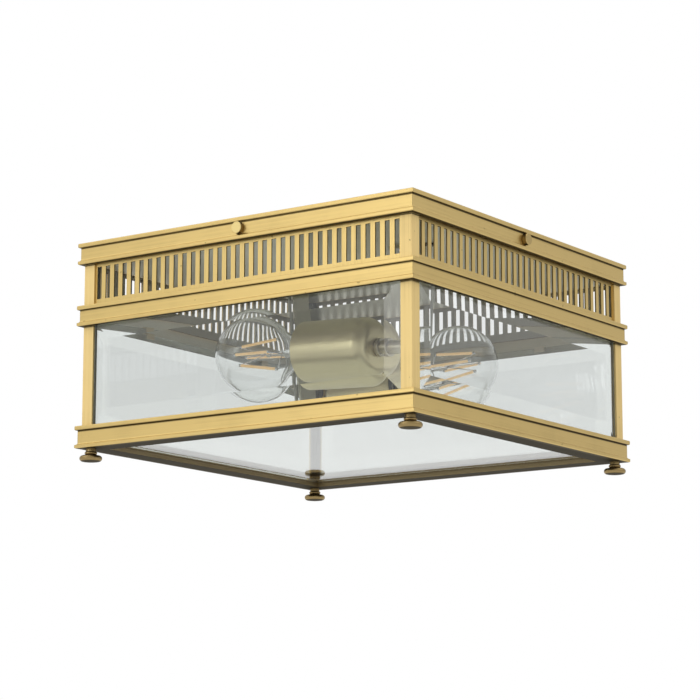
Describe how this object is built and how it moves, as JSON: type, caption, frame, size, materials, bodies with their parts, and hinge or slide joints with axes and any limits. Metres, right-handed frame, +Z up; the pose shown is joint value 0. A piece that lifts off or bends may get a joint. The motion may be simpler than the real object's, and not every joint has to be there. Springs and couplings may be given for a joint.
{
  "type": "flush outdoor ceiling lantern",
  "caption": "Square flush outdoor ceiling lantern in satin brass, with a pierced gallery over bevelled glass panes, ball feet, and clear bulbs lying in brass cups inside.",
  "frame": {"origin": "centre of the top face of the crossbar, where it lies on the ceiling", "axes": "+Z up into the ceiling, -Y towards the lantern's front, +X to its right"},
  "size_m": [0.3088, 0.3088, 0.1671],
  "materials": {
    "satin_brass": "satin, finely brushed along each rail",
    "aged_brass": "darker, aged",
    "lamp_brass": "polished satin",
    "satin_nickel": "satin reflector grey",
    "zinc_steel": "zinc plated",
    "clear_glass": "clear, bevelled edges",
    "bulb_glass": "clear",
    "cap_metal": "nickel plated",
    "filament_amber": "amber coated",
    "black_moulding": "moulded",
    "contact_brass": "plain",
    "grommet_rubber": "soft",
    "wire_sleeve": "braided sleeve",
    "white_plastic": "moulded"
  },
  "bodies": {
    "ceiling_mount": {"crossbar": "zinc_steel", "ceiling_pan": "satin_nickel", "pan_studs": "zinc_steel", "dome_nuts": "satin_nickel", "terminal_block": "white_plastic", "earth_terminal": "contact_brass", "wire_grommets": "grommet_rubber", "bracket_screws": "zinc_steel", "tube_nuts": "satin_nickel", "holder_contacts": "contact_brass", "lamp_bracket_front": "satin_nickel", "lamp_tube_front": "satin_nickel", "lamp_cup_front": "lamp_brass", "lampholder_front": "black_moulding", "lamp_wire_front": "wire_sleeve", "lamp_bracket_back": "satin_nickel", "lamp_tube_back": "satin_nickel", "lamp_cup_back": "lamp_brass", "lampholder_back": "black_moulding", "lamp_wire_back": "wire_sleeve"},
    "lantern": {"cornice_rail_front": "satin_brass", "middle_rail_front": "satin_brass", "base_rail_front": "satin_brass", "gallery_panel_front": "satin_brass", "side_pane_front": "clear_glass", "cornice_rail_right": "satin_brass", "middle_rail_right": "satin_brass", "base_rail_right": "satin_brass", "gallery_panel_right": "satin_brass", "side_pane_right": "clear_glass", "cornice_rail_back": "satin_brass", "middle_rail_back": "satin_brass", "base_rail_back": "satin_brass", "gallery_panel_back": "satin_brass", "side_pane_back": "clear_glass", "cornice_rail_left": "satin_brass", "middle_rail_left": "satin_brass", "base_rail_left": "satin_brass", "gallery_panel_left": "satin_brass", "side_pane_left": "clear_glass", "corner_post_front_left": "satin_brass", "corner_post_front_right": "satin_brass", "corner_post_back_right": "satin_brass", "corner_post_back_left": "satin_brass", "floor_pane": "clear_glass", "corner_feet": "aged_brass", "pane_clips": "satin_brass"},
    "thumbscrew_front_body": {"thumbscrew_front": "aged_brass"},
    "thumbscrew_right_body": {"thumbscrew_right": "aged_brass"},
    "thumbscrew_back_body": {"thumbscrew_back": "aged_brass"},
    "thumbscrew_left_body": {"thumbscrew_left": "aged_brass"},
    "bulb_front": {"bulb_glass_front": "bulb_glass", "bulb_cap_front": "cap_metal", "bulb_stem_front": "bulb_glass", "bulb_filaments_front": "filament_amber"},
    "bulb_back": {"bulb_glass_back": "bulb_glass", "bulb_cap_back": "cap_metal", "bulb_stem_back": "bulb_glass", "bulb_filaments_back": "filament_amber"}
  },
  "joints": [
    {"name": "lantern_drop", "type": "slide", "parent": "ceiling_mount", "child": "lantern", "axis": [0, 0, -1], "range_m": [0, 0.175]},
    {"name": "thumbscrew_front_turn", "type": "hinge", "parent": "lantern", "child": "thumbscrew_front_body", "pos_m": [0, -0.1507, -0.0081], "axis": [0, -1, 0], "continuous": true},
    {"name": "thumbscrew_right_turn", "type": "hinge", "parent": "lantern", "child": "thumbscrew_right_body", "pos_m": [0.1507, 0, -0.0081], "axis": [1, 0, 0], "continuous": true},
    {"name": "thumbscrew_back_turn", "type": "hinge", "parent": "lantern", "child": "thumbscrew_back_body", "pos_m": [0, 0.1507, -0.0081], "axis": [0, 1, 0], "continuous": true},
    {"name": "thumbscrew_left_turn", "type": "hinge", "parent": "lantern", "child": "thumbscrew_left_body", "pos_m": [-0.1507, 0, -0.0081], "axis": [-1, 0, 0], "continuous": true},
    {"name": "bulb_front_turn", "type": "hinge", "parent": "ceiling_mount", "child": "bulb_front", "pos_m": [-0.00217, -0.0604, -0.0859], "axis": [-0.9986, 0, 0.0523], "continuous": true},
    {"name": "bulb_back_turn", "type": "hinge", "parent": "ceiling_mount", "child": "bulb_back", "pos_m": [0.00217, 0.0604, -0.0859], "axis": [0.9986, 0, 0.0523], "continuous": true}
  ]
}
